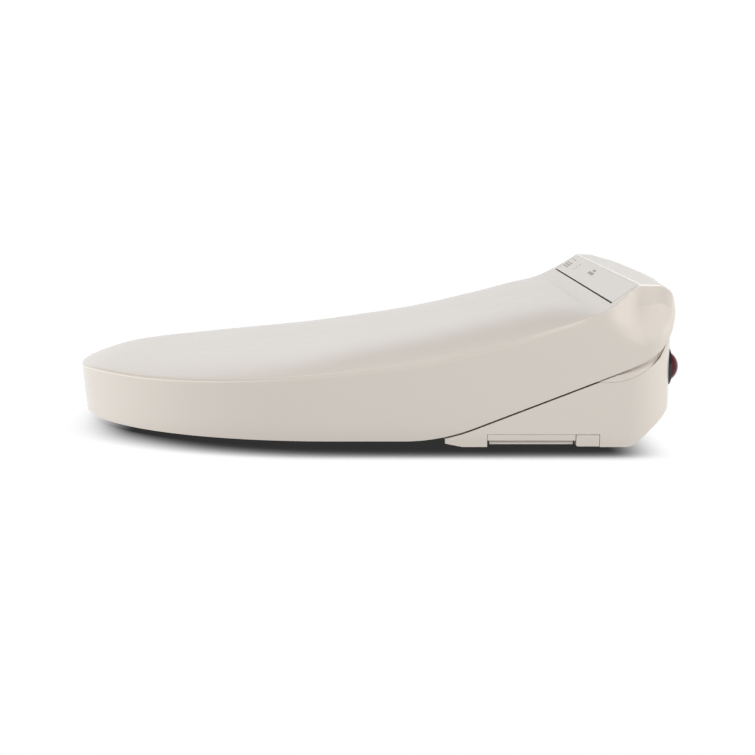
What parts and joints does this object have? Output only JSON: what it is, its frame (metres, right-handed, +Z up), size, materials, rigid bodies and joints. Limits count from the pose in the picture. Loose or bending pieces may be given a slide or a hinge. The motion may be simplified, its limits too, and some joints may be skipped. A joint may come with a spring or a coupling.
{
  "type": "electric bidet seat",
  "caption": "Electric bidet seat: slim body with wash wands, dryer and deodoriser, heated seat ring and full-cover lid on one hinge line.",
  "frame": {"origin": "midway between the two mounting-bolt slots, at the underside of the base plate", "axes": "+X to the side with the filter drawer, -Y forwards to the nose, +Z up"},
  "size_m": [0.39, 0.5426, 0.1352],
  "materials": {
    "lid_gloss": "high-gloss moulded",
    "body_gloss": "gloss moulded",
    "panel_gloss": "gloss moulded",
    "seat_gloss": "gloss moulded",
    "lens_smoke": "smoked lens",
    "dome_red": "tinted dome",
    "bezel_black": "gloss black",
    "steel": "turned",
    "white_plastic": "moulded",
    "grey_plastic": "moulded",
    "dark_plastic": "moulded",
    "carbon": "pressed charcoal",
    "brass_part": "turned",
    "zinc": "plated sheet",
    "heater_foil": "foil",
    "tank_plastic": "moulded",
    "board_green": "solder mask",
    "rubber_grey": "moulded"
  },
  "bodies": {
    "base": {"base_plate": "white_plastic", "bottom_case": "grey_plastic", "main_cover": "body_gloss", "display_panel": "panel_gloss", "indicator_lens": "lens_smoke", "sensor_bezel": "bezel_black", "sensor_dome": "dome_red", "hinge_pin_left": "steel", "hinge_pin_right": "steel", "nozzle_cradle": "grey_plastic", "wand_motor_a": "zinc", "wand_motor_b": "zinc", "dryer_duct": "grey_plastic", "blower_housing": "dark_plastic", "deodoriser_duct": "grey_plastic", "water_inlet": "brass_part", "inlet_strainer": "white_plastic", "solenoid_valve": "white_plastic", "heater_tank": "tank_plastic", "tank_bracket": "zinc", "flow_pump": "grey_plastic", "water_pipes": "white_plastic", "control_board": "board_green", "power_board": "board_green", "cord_gland": "rubber_grey", "foot_pad_1": "rubber_grey", "foot_pad_2": "rubber_grey", "foot_pad_3": "rubber_grey", "foot_pad_4": "rubber_grey"},
    "seat": {"seat_top": "seat_gloss", "seat_heater": "heater_foil", "seat_base": "seat_gloss", "seat_bumper_1": "rubber_grey", "seat_bumper_2": "rubber_grey", "seat_bumper_3": "rubber_grey", "seat_bumper_4": "rubber_grey"},
    "lid": {"lid_shell": "lid_gloss", "lid_bumper_1": "rubber_grey", "lid_bumper_2": "rubber_grey"},
    "cleansing_wand": {"cleansing_wand": "white_plastic", "cleansing_tip": "grey_plastic"},
    "bidet_wand": {"bidet_wand": "white_plastic", "bidet_tip": "grey_plastic"},
    "pinion_a": {"wand_pinion_a": "white_plastic"},
    "pinion_b": {"wand_pinion_b": "white_plastic"},
    "dryer_flap": {"dryer_flap": "white_plastic"},
    "impeller": {"blower_impeller": "white_plastic"},
    "filter_drawer": {"filter_drawer": "body_gloss", "filter_cartridge": "carbon"},
    "fan": {"deodoriser_fan": "dark_plastic"},
    "release_button": {"release_button": "body_gloss"},
    "drain_plug": {"drain_plug": "white_plastic"}
  },
  "joints": [
    {"name": "seat_hinge", "type": "hinge", "parent": "base", "child": "seat", "pos_m": [0, 0.0015, 0.1115], "axis": [-1, 0, 0], "range_deg": [0, 95]},
    {"name": "lid_hinge", "type": "hinge", "parent": "seat", "child": "lid", "pos_m": [0, 0.0015, 0.1115], "axis": [1, 0, 0], "range_deg": [-105, 0]},
    {"name": "cleansing_wand_slide", "type": "slide", "parent": "base", "child": "cleansing_wand", "axis": [0, -0.8829, -0.4695], "range_m": [0, 0.075]},
    {"name": "bidet_wand_slide", "type": "slide", "parent": "base", "child": "bidet_wand", "axis": [0, -0.8829, -0.4695], "range_m": [0, 0.075]},
    {"name": "pinion_a_spin", "type": "hinge", "parent": "base", "child": "pinion_a", "pos_m": [-0.0285, -0.04536, 0.04908], "axis": [1, 0, 0], "range_deg": [-690, 12]},
    {"name": "pinion_b_spin", "type": "hinge", "parent": "base", "child": "pinion_b", "pos_m": [-0.0095, -0.04536, 0.04908], "axis": [1, 0, 0], "range_deg": [-690, 12]},
    {"name": "dryer_flap_hinge", "type": "hinge", "parent": "base", "child": "dryer_flap", "pos_m": [0.069, -0.0682, 0.0268], "axis": [-1, 0, 0], "range_deg": [0, 60]},
    {"name": "impeller_spin", "type": "hinge", "parent": "base", "child": "impeller", "pos_m": [0.069, -0.008, 0.03], "axis": [0, 0, 1], "continuous": true},
    {"name": "filter_drawer_slide", "type": "slide", "parent": "base", "child": "filter_drawer", "axis": [1, 0, 0], "range_m": [0, 0.034]},
    {"name": "fan_spin", "type": "hinge", "parent": "base", "child": "fan", "pos_m": [0.134, -0.044, 0.024], "axis": [1, 0, 0], "continuous": true},
    {"name": "release_button_push", "type": "slide", "parent": "base", "child": "release_button", "axis": [-1, 0, 0], "range_m": [0, 0.004], "stiffness_N_per_m": 1500, "springref_m": -0.001},
    {"name": "drain_plug_turn", "type": "hinge", "parent": "base", "child": "drain_plug", "pos_m": [-0.19, -0.04, 0.015], "axis": [-1, 0, 0], "range_deg": [0, 90]}
  ],
  "couplings": [
    {"joint": "pinion_a_spin", "follows": "cleansing_wand_slide", "rad_per_m": -142.86},
    {"joint": "pinion_b_spin", "follows": "bidet_wand_slide", "rad_per_m": -142.86}
  ]
}
